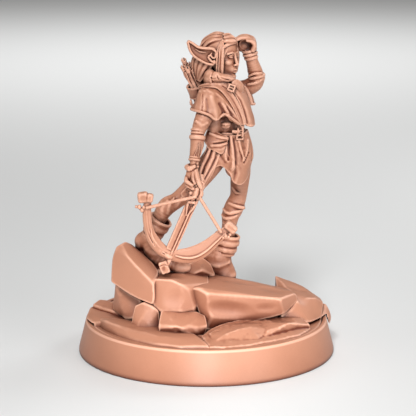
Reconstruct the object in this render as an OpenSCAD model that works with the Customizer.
// Scout miniature: a cloaked elf archer on a rock pile, standing in a lipped round plinth.
// Row frame: millimetres, +Z up, origin at the centre of the plinth's underside.
// The sculpt looks towards +X and -Y.  "right" and "left" are the figure's own sides.

/* [Plinth] */
// Diameter of the plinth's foot
plinth_d = 40; // [38:0.5:44]
// Diameter of the plinth's top edge
plinth_top_d = 37.6; // [36.8:0.1:38]
// Height of the plinth
plinth_h = 5.2; // [4.5:0.1:5.2]
// Width of the lip around the recess
lip_w = 0.6; // [0.5:0.1:1]
// Depth of the recess that holds the scenic insert
recess_depth = 1.8; // [1:0.1:2.2]
// Gap between the insert and the recess wall
insert_gap = 0.1; // [0.05:0.05:0.2]

/* [Figure] */
// Radius of the skull, from side to side
head_r = 2.15; // [2:0.05:2.3]
// Radius of the upper arm
arm_r = 1.05; // [0.9:0.05:1.15]
// Radius of the thigh at the hip
thigh_r = 1.9; // [1.7:0.05:2]
// Length of the pointed ears
ear_len = 4.4; // [3:0.1:5]
// Diameter of the wire pins inside ankles, wrist and neck
pin_d = 0.6; // [0.5:0.05:0.7]

/* [Crossbow] */
// Thickness of the bow limbs
limb_t = 0.8; // [0.6:0.05:1]
// Radius of the bowstring
string_r = 0.19; // [0.15:0.01:0.25]

/* [Hidden] */

round_fn = 96;      // exact turned faces
soft_fn = 14;       // organic hulls
chip_fn = 6;        // blunted rock corners
chip_r = 0.3;       // how far a rock corner is blunted

// Plinth and insert
foot_h = 0.5;       // the straight foot below the plinth's cone
insert_r = plinth_top_d / 2 - lip_w - insert_gap;
recess_floor = plinth_h - recess_depth;
insert_top = plinth_h - 0.2;
lip_clear = 0.15;   // gap kept between overhanging rocks and the lip
overhang_floor = 3.6;   // how far down a rock may hang outside the lip

// Joints of the figure
hip_right = [1.4, -1.7, 31.2];
hip_left = [4.9, 1.7, 31.2];
knee_right = [-5.7, -2.8, 23.6];
knee_left = [4.7, 1.4, 22.6];
ankle_right = [-8.8, -1.4, 18.2];
ankle_left = [3.2, 1.6, 14.6];
heel_right = [-9.7, -0.9, 16.9];
toe_right = [-3.6, -3.7, 14.5];
heel_left = [2.4, 2.8, 12.6];
toe_left = [3.5, -0.8, 12.3];
shoulder_right = [-0.1, -2.7, 40.6];
elbow_right = [-1.2, -4.4, 35.3];
wrist_right = [-1.7, -5.4, 30.2];
palm_right = [-1.3, -5.9, 28.2];
shoulder_left = [5.6, 2.7, 40.9];
elbow_left = [8.0, 2.2, 42.7];
wrist_left = [6.7, 1.0, 46.0];
knuckles_left = [6.1, 0.6, 48.0];
fingertips_left = [4.5, 0.0, 48.5];
neck_base = [2.2, 0.3, 41.6];
skull = [1.3, 0.0, 46.5];
head_turn = -15;    // the face looks this far from +X
torso_turn = -45;   // the chest looks this far from +X

// Crossbow, held nose down
bow_nose = [-6.1, -7.2, 15.8];
bow_butt = [-0.3, -6.4, 28.0];
bow_tip_left = [-9.05, -7.0, 24.6];
bow_tip_right = [3.6, -6.1, 20.6];
string_nut = [-1.15, -6.9, 25.9];
limb_left_path = [
    [-5.7, -7.2, 16.7], [-7.0, -7.2, 17.4], [-8.3, -7.2, 19.6], [-8.9, -7.1, 22.1], bow_tip_left];
limb_right_path = [
    [-4.8, -7.2, 16.3], [-2.5, -7.2, 15.9], [0.1, -6.9, 17.3], [2.1, -6.5, 19.2], bow_tip_right];

flesh = "#d9a287";

// ---------- shared shapes ----------
module ball(p, r) translate(p) sphere(r, $fn = soft_fn);

module limb(p, q, rp, rq) hull() {
    ball(p, rp);
    ball(q, rq);
}

// One rounded link between each point and the next
module chain(points, radii) {
    for (i = [0 : len(points) - 2])
        limb(points[i], points[i + 1], radii[i], radii[i + 1]);
}

module blob(points, radii) hull()
    for (i = [0 : len(points) - 1])
        ball(points[i], radii[i]);

// A broken stone: the hull of its corners, each slightly blunted
module stone(points) hull()
    for (p = points)
        translate(p) sphere(chip_r, $fn = chip_fn);

// The space above the insert, above the lip beyond it, and a little way down outside the lip
module above_ground() {
    translate([0, 0, insert_top]) cylinder(h = 60, r = insert_r - 0.1, $fn = round_fn);
    translate([0, 0, plinth_h + lip_clear]) cylinder(h = 60, r = plinth_d / 2, $fn = round_fn);
    difference() {
        translate([0, 0, overhang_floor])
            cylinder(h = plinth_h + lip_clear + 0.1 - overhang_floor, r = plinth_d / 2, $fn = round_fn);
        translate([0, 0, foot_h])
            cylinder(h = plinth_h - foot_h, r1 = plinth_d / 2 + lip_clear,
                     r2 = plinth_top_d / 2 + lip_clear, $fn = round_fn);
        cylinder(h = 30, r = plinth_top_d / 2 + lip_clear, $fn = round_fn);
    }
}

function mix(a, b, t) = a + (b - a) * t;

// ---------- plinth ----------
module plinth() color(flesh) difference() {
    union() {
        cylinder(h = foot_h, d = plinth_d, $fn = round_fn);
        translate([0, 0, foot_h])
            cylinder(h = plinth_h - foot_h, d1 = plinth_d, d2 = plinth_top_d, $fn = round_fn);
    }
    translate([0, 0, recess_floor])
        cylinder(h = recess_depth + 1, r = plinth_top_d / 2 - lip_w, $fn = round_fn);
}

module scenic_insert() color(flesh)
    translate([0, 0, recess_floor])
        cylinder(h = insert_top - recess_floor, r = insert_r, $fn = round_fn);

// ---------- rocks ----------
module boulder_left_shape() stone([
    [-13.9, -4.2, 17.0], [-12.6, -2.8, 17.5], [-11.6, -1.8, 17.0], [-9.4, -3.8, 15.4],
    [-7.7, -6.6, 13.2], [-8.4, -8.4, 12.0], [-8.3, -7.8, 9.7], [-10.1, -8.5, 13.1],
    [-11.1, -8.0, 10.5], [-14.4, -5.5, 12.3], [-13.6, 0.4, 16.0], [-13.9, 0.4, 12.4],
    [-9.0, 0.6, 11.2], [-8.6, -0.2, 13.0]]);

module boulder_middle_shape() stone([
    [-7.8, -7.8, 13.0], [-4.7, -9.0, 12.8], [-3.3, -9.0, 11.8], [-1.9, -8.5, 9.2], [-5.2, -9.5, 9.0],
    [-7.8, -8.9, 9.8], [-4.2, -4.6, 13.1], [-1.3, -1.2, 13.0], [-0.9, -3.4, 12.4], [-7.0, -2.2, 12.8],
    [-1.2, -6.5, 11.8], [-7.0, 0.0, 5.3], [-1.2, 0.0, 5.3], [-7.0, -6.0, 5.3], [-1.6, -6.0, 5.3]]);

module slab_long_shape() stone([
    [-2.2, -7.6, 11.5], [3.0, -7.7, 11.1], [10.7, -7.5, 9.8], [13.7, -2.4, 9.5], [14.1, -2.4, 8.7],
    [14.0, -2.8, 7.8], [11.5, -6.8, 7.6], [9.1, -7.7, 7.4], [4.0, -7.2, 7.4], [0.3, -6.6, 5.3],
    [-1.6, -7.2, 9.0], [1.2, 3.0, 11.0], [6.4, 3.4, 9.9], [12.2, 2.2, 9.2], [-1.0, 1.0, 11.3],
    [12.0, 2.4, 6.6], [0.3, 3.0, 5.3], [8.0, 3.0, 5.3]]);

module fin_rock_shape() stone([
    [11.2, 7.2, 9.6], [15.0, 6.0, 8.3], [16.5, 3.6, 7.6], [17.9, 0.8, 6.9], [17.6, -2.8, 5.3],
    [16.2, -3.0, 5.3], [14.7, 0.8, 6.4], [11.4, 6.4, 8.0], [11.2, 8.6, 5.3], [15.4, 7.4, 5.3],
    [17.3, 3.4, 5.3], [13.6, 2.6, 5.3]]);

module rim_rock_shape() stone([
    [17.0, 4.4, 7.0], [18.2, 3.2, 6.9], [19.1, 3.6, 6.2], [19.3, 3.6, 4.2], [18.7, 5.4, 4.0],
    [18.6, 5.4, 5.9], [17.0, 7.4, 5.8], [15.8, 7.2, 5.2], [17.2, 2.4, 5.2]]);

module ground_slab_front_left_shape() stone([
    [-16.6, -3.9, 5.4], [-15.0, -3.8, 5.8], [-11.9, -5.8, 5.9], [-2.0, -13.2, 5.8], [-0.2, -15.8, 5.3],
    [-5.2, -16.7, 5.3], [-11.6, -12.9, 5.3], [-15.4, -7.2, 5.3], [-13.3, -9.2, 6.0], [-11.4, -12.4, 5.6],
    [-1.8, -14.8, 5.7]]);

module ground_slab_front_right_shape() stone([
    [-0.6, -10.7, 5.3], [2.5, -9.4, 6.8], [8.0, -8.0, 6.8], [13.7, -5.6, 6.3], [15.7, -7.8, 5.3],
    [14.6, -9.4, 5.8], [9.4, -14.4, 5.3], [2.2, -17.0, 5.3], [2.5, -16.2, 6.4], [5.6, -14.8, 7.1],
    [9.2, -14.0, 6.3]]);

module ground_slab_back_left_shape() stone([
    [-17.5, 0.4, 5.7], [-17.3, 1.6, 6.4], [-16.4, 1.8, 6.8], [-12.0, -3.1, 6.8], [-13.0, -4.2, 5.3],
    [-16.8, -3.0, 5.5], [-9.6, 6.0, 6.4], [-14.6, 8.2, 5.7], [-11.8, 11.8, 5.3], [-6.0, 10.0, 5.6]]);

module small_block_shape() stone([
    [-9.8, -7.2, 9.7], [-7.8, -7.6, 9.1], [-8.2, -7.4, 5.4], [-11.0, -6.3, 5.4], [-11.0, -4.6, 9.4],
    [-7.6, -5.0, 9.0], [-11.3, -4.4, 5.4], [-7.8, -4.8, 5.4]]);

module front_block_shape() stone([
    [-6.6, -8.8, 8.3], [-1.7, -8.8, 8.2], [-0.6, -9.6, 7.7], [-0.2, -8.4, 5.5], [-1.8, -10.2, 5.4],
    [-4.6, -10.6, 5.4], [-7.2, -10.2, 5.5], [-6.5, -10.7, 7.7], [-3.3, -11.6, 7.7], [-0.9, -10.2, 7.3],
    [-7.0, -11.0, 6.5], [-5.0, -11.5, 6.3], [-6.8, -6.6, 5.4], [-0.6, -6.6, 5.4], [-6.6, -6.6, 7.6]]);

module pillar_rock_shape() stone([
    [-13.8, -2.8, 12.6], [-13.9, -3.2, 9.0], [-15.2, -2.8, 7.0], [-10.8, -4.4, 10.4], [-10.8, -4.2, 5.3],
    [-14.6, -2.8, 5.3], [-14.2, 1.4, 12.2], [-14.8, 2.0, 5.3], [-9.0, 1.8, 11.0], [-9.0, 2.0, 5.3]]);

module boulder_back_left_shape() stone([
    [-12.2, -0.6, 15.0], [-12.4, 3.6, 13.8], [-3.4, -3.0, 13.0], [-2.4, 4.4, 12.2], [-13.2, 5.0, 5.3],
    [-2.6, 7.4, 5.3], [-9.6, 7.2, 9.0], [-4.0, -3.2, 9.0], [-12.0, -1.0, 8.0], [-6.0, 7.4, 5.3]]);

module boulder_back_right_shape() stone([
    [-0.6, 3.2, 10.8], [5.6, 4.2, 9.9], [9.6, 7.6, 7.6], [10.0, 8.6, 5.3], [0.0, 11.4, 5.3],
    [1.6, 8.0, 9.2], [8.8, 3.6, 8.0], [9.4, 3.4, 5.3], [-1.0, 3.4, 5.3]]);

// Each rock is seated on the insert and gives way to the ones laid before it
module seated_rock(first) color(flesh) intersection() {
    above_ground();
    difference() {
        children(0);
        for (i = [1 : 1 : $children - 1])
            children(i);
    }
}

module boulder_left() seated_rock() {
    boulder_left_shape();
    right_boot_shape();
}
module boulder_middle() seated_rock() {
    boulder_middle_shape();
    boulder_left_shape();
    right_boot_shape();
}
module slab_long() seated_rock() {
    slab_long_shape();
    boulder_middle_shape();
    left_boot_shape();
}
module fin_rock() seated_rock() {
    fin_rock_shape();
    slab_long_shape();
}
module rim_rock() seated_rock() {
    rim_rock_shape();
    fin_rock_shape();
}
module ground_slab_front_right() seated_rock() {
    ground_slab_front_right_shape();
    slab_long_shape();
    front_block_shape();
    rim_rock_shape();
    fin_rock_shape();
}
module ground_slab_front_left() seated_rock() {
    ground_slab_front_left_shape();
    front_block_shape();
    small_block_shape();
    ground_slab_front_right_shape();
    pillar_rock_shape();
}
module ground_slab_back_left() seated_rock() {
    ground_slab_back_left_shape();
    pillar_rock_shape();
    boulder_back_left_shape();
    ground_slab_front_left_shape();
    small_block_shape();
}
module small_block() seated_rock() {
    small_block_shape();
    boulder_left_shape();
    boulder_middle_shape();
    pillar_rock_shape();
    front_block_shape();
}
module front_block() seated_rock() {
    front_block_shape();
    boulder_middle_shape();
    slab_long_shape();
}
module pillar_rock() seated_rock() {
    pillar_rock_shape();
    boulder_left_shape();
    boulder_middle_shape();
}
module boulder_back_left() seated_rock() {
    boulder_back_left_shape();
    boulder_left_shape();
    boulder_middle_shape();
    pillar_rock_shape();
    right_boot_shape();
    slab_long_shape();
}
module boulder_back_right() seated_rock() {
    boulder_back_right_shape();
    boulder_middle_shape();
    slab_long_shape();
    boulder_back_left_shape();
    fin_rock_shape();
    left_boot_shape();
}

// Wire pins that run up from the rocks into the boots
pin_len = 3.6;
pin_below = 3.2;     // how much of a pin is below the boot's middle line
pin_right = mix(heel_right, toe_right, 0.55);
pin_left = mix(heel_left, toe_left, 0.35);
module foot_pins() color("silver")
    for (p = [pin_right, pin_left])
        translate(p - [0, 0, pin_below]) cylinder(h = pin_len, d = pin_d, $fn = 24);

// ---------- legs ----------
module leg_shape(hip, knee, ankle) {
    thigh_mid = mix(hip, knee, 0.45);
    calf = mix(knee, ankle, 0.4);
    chain([hip, thigh_mid, knee, calf, ankle],
          [thigh_r, thigh_r * 0.87, thigh_r * 0.68, thigh_r * 0.7, thigh_r * 0.5]);
}
module right_leg() color(flesh) difference() {
    leg_shape(hip_right, knee_right, ankle_right);
    torso_shape();
    left_leg_shape();
}
module left_leg_shape() leg_shape(hip_left, knee_left, ankle_left);
module left_leg() color(flesh) difference() {
    left_leg_shape();
    torso_shape();
}

module boot_shape(knee, ankle, heel, toe) {
    shaft_top = mix(knee, ankle, 0.5);
    chain([shaft_top, ankle, heel], [1.45, 1.25, 1.3]);
    chain([ankle, mix(heel, toe, 0.55), toe], [1.25, 1.15, 0.9]);
    limb(heel, mix(heel, toe, 0.55), 1.3, 1.15);
}
module right_boot_shape() boot_shape(knee_right, ankle_right, heel_right, toe_right);
module left_boot_shape() boot_shape(knee_left, ankle_left, heel_left, toe_left);
module right_boot() color(flesh) difference() {
    right_boot_shape();
    leg_shape(hip_right, knee_right, ankle_right);
    foot_pins();
}
module left_boot() color(flesh) difference() {
    left_boot_shape();
    left_leg_shape();
    foot_pins();
}

cuff_span = 0.34;    // how much of the shin a cuff covers
module cuff_shape(knee, ankle, at, r) {
    a = mix(knee, ankle, at);
    b = mix(knee, ankle, at + cuff_span);
    limb(a, b, r, r * 0.92);
}
module right_boot_cuff() color(flesh) difference() {
    cuff_shape(knee_right, ankle_right, 0.3, 1.75);
    right_boot_shape();
    leg_shape(hip_right, knee_right, ankle_right);
}
module left_boot_cuff() color(flesh) difference() {
    cuff_shape(knee_left, ankle_left, 0.5, 2.0);
    left_boot_shape();
    left_leg_shape();
}

// ---------- body ----------
module torso_shape(grow = 0) {
    blob([[2.2, -1.0, 32.2], [4.4, 1.2, 32.2], [3.3, 0.1, 34.4]],
         [1.75 + grow, 1.75 + grow, 1.75 + grow]);
    blob([[3.1, -0.2, 34.6], [3.7, 0.4, 34.6], [1.7, -1.1, 39.2], [4.2, 1.4, 39.3]],
         [1.7 + grow, 1.7 + grow, 1.75 + grow, 1.75 + grow]);
    blob([[0.6, -1.9, 40.5], [4.9, 2.2, 40.7], [2.1, 0.2, 41.2]],
         [1.05 + grow, 1.05 + grow, 1.15 + grow]);
}
module torso() color(flesh) difference() {
    torso_shape();
    neck_shape();
}

module neck_shape() limb(neck_base, mix(neck_base, skull, 0.55), 1.1, 1.0);
module neck() color(flesh) difference() {
    neck_shape();
    head_shape();
}

// A skirt of hanging panels: each hem point is joined to the waist
skirt_hem = [
    [5.2, -2.6, 26.6], [6.4, -0.6, 28.6], [6.6, 1.6, 29.0], [5.2, 3.4, 28.8], [2.8, 3.2, 29.2],
    [1.0, 1.0, 29.4], [0.9, -2.0, 30.0], [2.6, -3.0, 29.4]];
waist_point = [3.35, 0.05, 33.9];
module skirt_shape() {
    n = len(skirt_hem);
    for (i = [0 : n - 1])
        blob([skirt_hem[i], skirt_hem[(i + 1) % n], waist_point, mix(waist_point, skirt_hem[i], 0.6)],
             [0.35, 0.35, 1.9, 0.9]);
}
module tunic_skirt() color(flesh) difference() {
    skirt_shape();
    torso_shape();
    leg_shape(hip_right, knee_right, ankle_right);
    left_leg_shape();
    hip_flap_shape();
}

module coat_tail_shape() chain(
    [[0.8, -2.9, 31.6], [-0.7, -3.3, 28.6], [-2.2, -3.5, 26.0], [-3.7, -3.9, 24.7]],
    [1.0, 0.9, 0.7, 0.6]);
module coat_tail() color(flesh) difference() {
    coat_tail_shape();
    leg_shape(hip_right, knee_right, ankle_right);
    torso_shape();
    skirt_shape();
    right_arm_lower_shape();
    hip_flap_shape();
}

module hip_flap_shape() stone([
    [0.7, -2.2, 34.4], [1.5, -2.9, 34.1], [3.2, -3.1, 33.3], [2.9, -3.3, 32.5], [2.2, -3.6, 31.3],
    [1.2, -3.6, 31.7], [0.1, -3.2, 32.2], [-0.2, -2.4, 33.3], [0.8, -1.6, 33.0]]);
module hip_flap() color(flesh) difference() {
    hip_flap_shape();
    torso_shape();
    right_arm_lower_shape();
    leg_shape(hip_right, knee_right, ankle_right);
}

// A band cut from the body's outline grown outwards, tilted about the given point
module body_band(centre, tilt, width, grow) intersection() {
    torso_shape(grow);
    translate(centre) rotate(tilt) cube([14, 14, width], center = true);
}
belt_centre = [3.4, 0.1, 34.2];
belt_tilt = [6, 4, 0];
belt_w = 0.95;
belt_t = 0.4;
module belt_band() body_band(belt_centre, belt_tilt, belt_w, belt_t);
module belt() color(flesh) difference() {
    belt_band();
    torso_shape();
    skirt_shape();
    hip_flap_shape();
}
belt_buckle_at = [5.15, -1.75, 34.3];
belt_buckle_size = 1.3;
module square_buckle(at, yaw, pitch, size) translate(at) rotate([0, pitch, yaw]) difference() {
    cube([0.45, size, size], center = true);
    cube([1, size * 0.5, size * 0.5], center = true);
}
module belt_buckle_shape() square_buckle(belt_buckle_at, torso_turn, 0, belt_buckle_size);
module belt_buckle() color(flesh) difference() {
    belt_buckle_shape();
    torso_shape(belt_t);
}
pouch_r = 0.75;
pouches = [[1.9, -1.95, 35.9], [3.4, -1.75, 35.8]];
module belt_pouch_balls()
    for (p = pouches)
        ball(p, pouch_r);
module belt_pouches() color(flesh) difference() {
    belt_pouch_balls();
    torso_shape();
    belt_band();
    mantle_shape();
}

// ---------- shoulders ----------
mantle_hem = [
    [-1.8, -3.0, 37.9], [-1.5, -4.2, 37.9], [-0.2, -4.5, 37.1], [1.2, -3.9, 36.8], [2.8, -3.0, 36.7],
    [4.6, -2.6, 35.7], [5.2, -1.7, 35.6]];
mantle_top = [[0.2, -1.9, 41.5], [2.2, -0.6, 41.8]];
module mantle_shape() {
    for (i = [0 : len(mantle_hem) - 2])
        blob([mantle_hem[i], mantle_hem[i + 1], mantle_top[0], mantle_top[1]],
             [0.3, 0.3, 0.7, 0.7]);
    blob([mantle_hem[0], mantle_top[0], mantle_top[1], [-0.9, -0.4, 38.2]], [0.3, 0.7, 0.7, 0.3]);
}
module mantle() color(flesh) difference() {
    mantle_shape();
    torso_shape();
    right_arm_shape();
    collar_shape();
    quiver_shape();
    neck_shape();
}

flap_points = [
    [3.0, -0.2, 41.9], [5.3, 2.3, 41.6], [6.4, 0.4, 36.2],
    [7.1, 0.0, 36.0], [6.0, -0.9, 38.4], [7.0, 2.0, 38.8]];
module front_flap_shape() blob(flap_points, [0.45, 0.9, 0.3, 0.3, 0.45, 0.35]);
module mantle_front_flap() color(flesh) difference() {
    front_flap_shape();
    torso_shape();
    mantle_shape();
    collar_shape();
    left_arm_shape();
    neck_shape();
    strap_band();
    strap_buckle_shape();
}

strap_centre = [2.6, 0.2, 38.9];
strap_tilt = [-38, 38, 0];
strap_w = 1.1;
strap_t = 0.75;
module strap_band() body_band(strap_centre, strap_tilt, strap_w, strap_t);
module chest_strap() color(flesh) difference() {
    strap_band();
    torso_shape();
    mantle_shape();
    collar_shape();
    quiver_shape();
    neck_shape();
    left_arm_shape();
    belt_band();
    belt_buckle_shape();
    belt_pouch_balls();
}

module strap_buckle_shape() square_buckle([3.95, -1.75, 41.25], torso_turn, -30, 1.15);
module strap_buckle() color(flesh) difference() {
    strap_buckle_shape();
    torso_shape();
    mantle_shape();
    collar_shape();
}

// The rolled scarf, a closed ring of links
collar_r = 1.75;
collar_centre = [2.1, 0.1, 42.4];
function collar_point(a) = collar_centre
    + [collar_r * cos(a), collar_r * sin(a), -0.25 * collar_r * cos(a - torso_turn)];
module collar_shape() for (a = [0 : 40 : 320])
    limb(collar_point(a), collar_point(a + 40), 0.72, 0.72);
module collar() color(flesh) difference() {
    collar_shape();
    neck_shape();
    torso_shape();
    head_shape();
}

// ---------- head ----------
module head_frame() translate(skull) rotate([0, 0, head_turn]) children();
module head_shape() head_frame() {
    blob([[0.25, 0, 0.35], [-0.55, 0, 0.25]], [head_r, head_r]);
    blob([[1.0, 0.75, -0.5], [1.0, -0.75, -0.5], [1.6, 0, -2.6], [0.6, 0.7, -1.9], [0.6, -0.7, -1.9]],
         [1.2, 1.2, 0.6, 0.75, 0.75]);
    limb([2.35, 0, 0.1], [2.85, 0, -0.75], 0.25, 0.36);
}
module head() color(flesh) head_shape();

module hair_cap_shape() head_frame() {
    blob([[0.35, 0, 0.6], [-0.7, 0, 0.3], [-0.6, 0, -0.6]], [head_r + 0.3, head_r + 0.45, head_r + 0.2]);
}
module hair_cap() color(flesh) difference() {
    hair_cap_shape();
    head_shape();
    right_ear_shape();
    left_ear_shape();
    neck_shape();
    collar_shape();
    head_frame() translate([2.2, -3, -4]) cube([3, 6, 5.2]);
}
module hair_back_shape() chain(
    [[-0.9, 0.5, 45.0], [-0.7, 0.9, 43.4], [0.0, 1.2, 41.6], [0.3, 1.6, 40.4]], [1.5, 1.25, 1.0, 0.7]);
module hair_back() color(flesh) difference() {
    hair_back_shape();
    hair_cap_shape();
    head_shape();
    neck_shape();
    torso_shape();
    collar_shape();
    quiver_shape();
    mantle_shape();
    quiver_bolts_shape();
    strap_band();
}
module hair_side_locks() color(flesh) difference() {
    head_frame() for (s = [-1, 1])
        chain([[0.9, s * 2.1, 1.0], [1.2, s * 2.25, -0.8], [0.9, s * 1.9, -3.2]], [0.45, 0.5, 0.35]);
    hair_cap_shape();
    head_shape();
    collar_shape();
    neck_shape();
    right_ear_shape();
    left_ear_shape();
}

// A long leaf-shaped ear that sweeps back and up
module ear_shape(side) head_frame() blob(
    [[0.3, side * 2.0, 0.5], [0.45, side * 2.0, -1.2], [-0.8, side * 2.6, -0.6],
     [0.3 - ear_len * 0.9, side * 3.1, 2.1], [-1.4, side * 2.75, 0.9]],
    [0.35, 0.35, 0.3, 0.2, 0.25]);
module right_ear_shape() ear_shape(-1);
module left_ear_shape() ear_shape(1);
module right_ear() color(flesh) difference() {
    right_ear_shape();
    head_shape();
}
module left_ear() color(flesh) difference() {
    left_ear_shape();
    head_shape();
}

// ---------- quiver ----------
quiver_top = [-1.4, 0.9, 41.1];
quiver_axis = [-18, 6];      // lean about Y and X
quiver_r = 1.25;
quiver_len = 4.4;    // from the rim's foot down to the tip
rim_foot = -1.5;     // where the rim starts, below the frame's origin
rim_h = 1.9;
bore_h = 0.6;        // how far the hollow mouth reaches below the frame's origin
module rim_body() translate([0, 0, rim_foot])
    cylinder(h = rim_h, r1 = quiver_r * 1.08, r2 = quiver_r * 1.2, $fn = round_fn);
module quiver_frame() translate(quiver_top) rotate([quiver_axis[1], quiver_axis[0], 0]) children();
module quiver_shape() quiver_frame() {
    translate([0, 0, -quiver_len])
        cylinder(h = quiver_len - 0.2, r1 = quiver_r * 0.75, r2 = quiver_r, $fn = round_fn);
    rim_body();
}
module quiver() color(flesh) difference() {
    quiver_frame()
        translate([0, 0, -quiver_len])
            cylinder(h = quiver_len + rim_foot, r1 = quiver_r * 0.75, r2 = quiver_r * 0.93, $fn = round_fn);
    torso_shape();
}
module quiver_rim() color(flesh) difference() {
    quiver_frame() difference() {
        rim_body();
        translate([0, 0, -bore_h]) cylinder(h = rim_h + 0.1, r = quiver_r * 0.9, $fn = round_fn);
    }
    torso_shape();
}
// Each bolt: its place in the bore and its length; a shaft with two crossed fins below its end
bolts = [[0, 0.5, 4.6], [-0.5, -0.1, 3.9], [0.45, -0.2, 3.6], [0, -0.6, 3.2]];
bolt_r = 0.24;
fin = [0.9, 0.16, 1.9];
fin_drop = 1.3;
module quiver_bolts_shape() quiver_frame() translate([0, 0, -bore_h])
    for (b = bolts)
        translate([b[0], b[1], 0]) {
            cylinder(h = b[2], r = bolt_r, $fn = 20);
            translate([0, 0, b[2] - fin_drop]) cube(fin, center = true);
            translate([0, 0, b[2] - fin_drop]) rotate([0, 0, 90]) cube(fin, center = true);
        }
module quiver_bolts() color(flesh) quiver_bolts_shape();

// ---------- arms ----------
module right_arm_upper_shape() chain([shoulder_right, mix(shoulder_right, elbow_right, 0.6), elbow_right],
    [arm_r * 1.15, arm_r, arm_r * 0.95]);
module right_arm_lower_shape() chain([elbow_right, mix(elbow_right, wrist_right, 0.35), wrist_right],
    [arm_r * 0.95, arm_r, arm_r * 0.75]);
module right_arm_shape() {
    right_arm_upper_shape();
    right_arm_lower_shape();
}
module right_upper_arm() color(flesh) difference() {
    right_arm_upper_shape();
    torso_shape();
    right_arm_lower_shape();
}
module right_bracer() color(flesh) right_arm_lower_shape();
module right_hand_shape() {
    limb(wrist_right, palm_right, 0.6, 0.95);
    limb(palm_right, [-0.9, -6.0, 26.7], 0.95, 0.7);
}
module right_hand() color(flesh) difference() {
    right_hand_shape();
    right_arm_lower_shape();
    crossbow_stock_shape();
    crossbow_lock_shape();
}

module left_arm_shape() chain([shoulder_left, mix(shoulder_left, elbow_left, 0.5), elbow_left],
    [arm_r * 1.15, arm_r * 1.1, arm_r]);
module left_upper_arm() color(flesh) difference() {
    left_arm_shape();
    torso_shape();
    left_forearm_shape();
}
module left_forearm_shape() chain([elbow_left, mix(elbow_left, wrist_left, 0.4), wrist_left],
    [arm_r * 1.05, arm_r * 0.98, arm_r * 0.75]);
module left_forearm() color(flesh) left_forearm_shape();
module left_wrist_wrap() color(flesh) difference() {
    limb(mix(elbow_left, wrist_left, 0.78), mix(elbow_left, wrist_left, 0.98), arm_r * 1.0, arm_r * 0.95);
    left_forearm_shape();
    left_hand_shape();
}
module left_hand_shape() {
    limb(wrist_left, knuckles_left, 0.55, 0.75);
    blob([knuckles_left, fingertips_left, fingertips_left + [0.2, 0.7, 0.1], knuckles_left + [0.1, 0.9, 0]],
         [0.4, 0.26, 0.26, 0.4]);
}
module left_hand() color(flesh) difference() {
    left_hand_shape();
    left_forearm_shape();
}

// ---------- crossbow ----------
module crossbow_stock_shape() hull() {
    for (t = [[0, 0.42], [0.6, 0.5], [1, 0.45]])
        translate(mix(bow_nose, bow_butt, t[0])) rotate([0, 28, 0])
            cube([t[1] * 3, t[1] * 2.2, 0.6], center = true);
}
module crossbow_stock() color(flesh) crossbow_stock_shape();
module crossbow_lock_shape() limb(string_nut + [0.15, -0.1, 0.6], string_nut + [-0.8, 0.0, -1.6], 0.5, 0.4);
module crossbow_lock() color(flesh) difference() {
    crossbow_lock_shape();
    crossbow_stock_shape();
}
module limb_path(path) chain(path, [0.95, 0.95, 0.8, 0.65, 0.55] * limb_t);
module limbs_shape() {
    limb_path(limb_left_path);
    limb_path(limb_right_path);
}
module bow_limb_left() color(flesh) difference() {
    limb_path(limb_left_path);
    crossbow_stock_shape();
    left_cap();
}
module bow_limb_right() color(flesh) difference() {
    limb_path(limb_right_path);
    limb_path(limb_left_path);
    crossbow_stock_shape();
    right_cap();
}
// A block on a limb's tip, wider at its outer end
cap_inner = [1.7, 1.3, 1.1];
cap_outer = [1.9, 1.6, 0.5];
cap_lean_left = -8;
cap_lean_right = 52;
module cap_shape(tip, lean) translate(tip + [0, 0, 0.1]) rotate([0, lean, 0]) hull() {
    cube(cap_inner, center = true);
    translate([0, 0, 0.8]) cube(cap_outer, center = true);
}
module left_cap() cap_shape(bow_tip_left, cap_lean_left);
module right_cap() cap_shape(bow_tip_right, cap_lean_right);
module limb_tip_caps() color(flesh) {
    left_cap();
    right_cap();
}
nock_left = [-9.0, -7.3, 23.4];
nock_right = [2.9, -6.8, 19.8];
knot_r = 0.42;       // the first of the three knots at each nock, the next ones smaller
knot_step = 0.62;
module string_shape() {
    for (nock = [nock_left, nock_right])
        limb(nock, string_nut, string_r, string_r);
}
module bowstring() color(flesh) difference() {
    string_shape();
    crossbow_stock_shape();
    crossbow_lock_shape();
    limbs_shape();
}
module string_knots() color(flesh) difference() {
    for (k = [[nock_left, [-0.55, -0.1, 0.15]], [nock_right, [0.35, -0.1, -0.6]]])
        for (i = [0 : 2])
            ball(k[0] + k[1] * (0.75 + i * knot_step), knot_r - i * 0.07);
    string_shape();
    limbs_shape();
    left_cap();
    right_cap();
}
module stirrup() color(flesh) difference() {
    hull() for (p = [bow_nose + [-0.1, 0, -0.5], bow_nose + [-0.7, 0, -1.5], bow_nose + [0.3, 0, -1.9]])
        translate(p) cube([0.7, 0.6, 0.5], center = true);
    crossbow_stock_shape();
    boulder_middle_shape();
    boulder_left_shape();
}

// ---------- output ----------
plinth();
scenic_insert();
boulder_left();
boulder_middle();
slab_long();
fin_rock();
rim_rock();
ground_slab_front_left();
ground_slab_front_right();
ground_slab_back_left();
small_block();
front_block();
pillar_rock();
boulder_back_left();
boulder_back_right();
foot_pins();
right_leg();
right_boot();
right_boot_cuff();
left_leg();
left_boot();
left_boot_cuff();
torso();
tunic_skirt();
coat_tail();
hip_flap();
belt();
belt_buckle();
belt_pouches();
mantle();
mantle_front_flap();
chest_strap();
strap_buckle();
collar();
neck();
head();
hair_cap();
hair_back();
hair_side_locks();
right_ear();
left_ear();
quiver();
quiver_rim();
quiver_bolts();
right_upper_arm();
right_bracer();
right_hand();
left_upper_arm();
left_forearm();
left_wrist_wrap();
left_hand();
crossbow_stock();
crossbow_lock();
bow_limb_left();
bow_limb_right();
limb_tip_caps();
bowstring();
string_knots();
stirrup();
